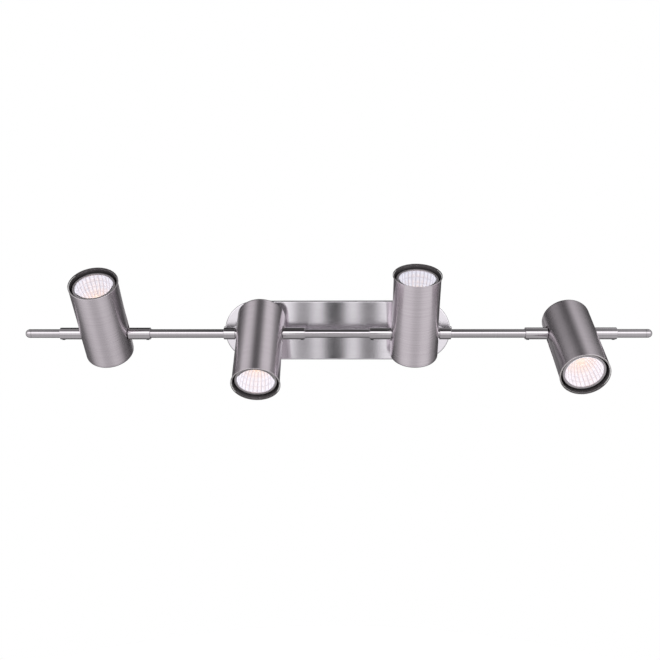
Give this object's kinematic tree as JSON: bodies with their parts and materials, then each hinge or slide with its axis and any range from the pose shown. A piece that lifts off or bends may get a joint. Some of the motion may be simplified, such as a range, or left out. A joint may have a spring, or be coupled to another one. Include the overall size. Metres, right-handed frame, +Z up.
{
  "type": "track lighting fixture",
  "caption": "Wall track light: a stadium canopy carries a round rail on two posts, and cylindrical spot heads turn about the rail, each with a recessed reflector lamp.",
  "frame": {"origin": "the middle of the mounting strap's back face, on the wall plane", "axes": "+X to the right along the rail, +Y into the wall, +Z up; the front faces -Y"},
  "size_m": [0.76, 0.1652, 0.1604],
  "materials": {
    "head_nickel": "satin nickel plate, fine brushing round the head",
    "rail_nickel": "satin nickel plate, smooth and fairly bright",
    "canopy_nickel": "satin nickel plate, fine brushing",
    "sleeve_metal": "satin nickel plate",
    "zinc_steel": "bright zinc-plated steel",
    "black_steel": "black oxide",
    "ground_green": "green ground screw",
    "bush_brass": "plain turned brass",
    "holder_ceramic": "unglazed white ceramic",
    "lamp_ceramic": "unglazed white ceramic with nickel pins",
    "lamp_mirror": "faceted dichroic reflector, mirror coated glass",
    "lamp_glass": "clear cover glass",
    "white_plastic": "moulded white plastic",
    "lead_sleeve": "glass-fibre sleeved lead"
  },
  "bodies": {
    "fixture": {"canopy": "canopy_nickel", "canopy_screw_left": "rail_nickel", "canopy_screw_right": "rail_nickel", "end_cap_left": "rail_nickel", "end_cap_right": "rail_nickel", "ground_screw": "ground_green", "head_1_collar_left": "rail_nickel", "head_1_collar_right": "rail_nickel", "head_1_set_screw_left": "black_steel", "head_1_set_screw_right": "black_steel", "head_2_collar_right": "rail_nickel", "head_2_set_screw_right": "black_steel", "head_3_collar_left": "rail_nickel", "head_3_set_screw_left": "black_steel", "head_4_collar_left": "rail_nickel", "head_4_collar_right": "rail_nickel", "head_4_set_screw_left": "black_steel", "head_4_set_screw_right": "black_steel", "mounting_strap": "zinc_steel", "post_left": "rail_nickel", "post_nut_left": "zinc_steel", "post_nut_right": "zinc_steel", "post_right": "rail_nickel", "rail_tube": "rail_nickel", "supply_lead_left": "lead_sleeve", "supply_lead_right": "lead_sleeve", "terminal_block": "white_plastic"},
    "head_1": {"head_1_inner_sleeve": "sleeve_metal", "head_1_lamp_base": "lamp_ceramic", "head_1_lamp_glass": "lamp_glass", "head_1_lamp_holder": "holder_ceramic", "head_1_lamp_reflector": "lamp_mirror", "head_1_pivot_bracket": "zinc_steel", "head_1_pivot_bush": "bush_brass", "head_1_shell": "head_nickel"},
    "head_2": {"head_2_inner_sleeve": "sleeve_metal", "head_2_lamp_base": "lamp_ceramic", "head_2_lamp_glass": "lamp_glass", "head_2_lamp_holder": "holder_ceramic", "head_2_lamp_reflector": "lamp_mirror", "head_2_pivot_bracket": "zinc_steel", "head_2_pivot_bush": "bush_brass", "head_2_shell": "head_nickel"},
    "head_3": {"head_3_inner_sleeve": "sleeve_metal", "head_3_lamp_base": "lamp_ceramic", "head_3_lamp_glass": "lamp_glass", "head_3_lamp_holder": "holder_ceramic", "head_3_lamp_reflector": "lamp_mirror", "head_3_pivot_bracket": "zinc_steel", "head_3_pivot_bush": "bush_brass", "head_3_shell": "head_nickel"},
    "head_4": {"head_4_inner_sleeve": "sleeve_metal", "head_4_lamp_base": "lamp_ceramic", "head_4_lamp_glass": "lamp_glass", "head_4_lamp_holder": "holder_ceramic", "head_4_lamp_reflector": "lamp_mirror", "head_4_pivot_bracket": "zinc_steel", "head_4_pivot_bush": "bush_brass", "head_4_shell": "head_nickel"}
  },
  "joints": [
    {"name": "head_1_tilt", "type": "hinge", "parent": "fixture", "child": "head_1", "pos_m": [-0.282, -0.082, 0], "axis": [1, 0, 0], "range_deg": [-39.5, 140.5]},
    {"name": "head_2_tilt", "type": "hinge", "parent": "fixture", "child": "head_2", "pos_m": [-0.094, -0.082, 0], "axis": [1, 0, 0], "range_deg": [-133.5, 46.5]},
    {"name": "head_3_tilt", "type": "hinge", "parent": "fixture", "child": "head_3", "pos_m": [0.094, -0.082, 0], "axis": [1, 0, 0], "range_deg": [-28, 152]},
    {"name": "head_4_tilt", "type": "hinge", "parent": "fixture", "child": "head_4", "pos_m": [0.282, -0.082, 0], "axis": [1, 0, 0], "range_deg": [-122, 58]}
  ]
}
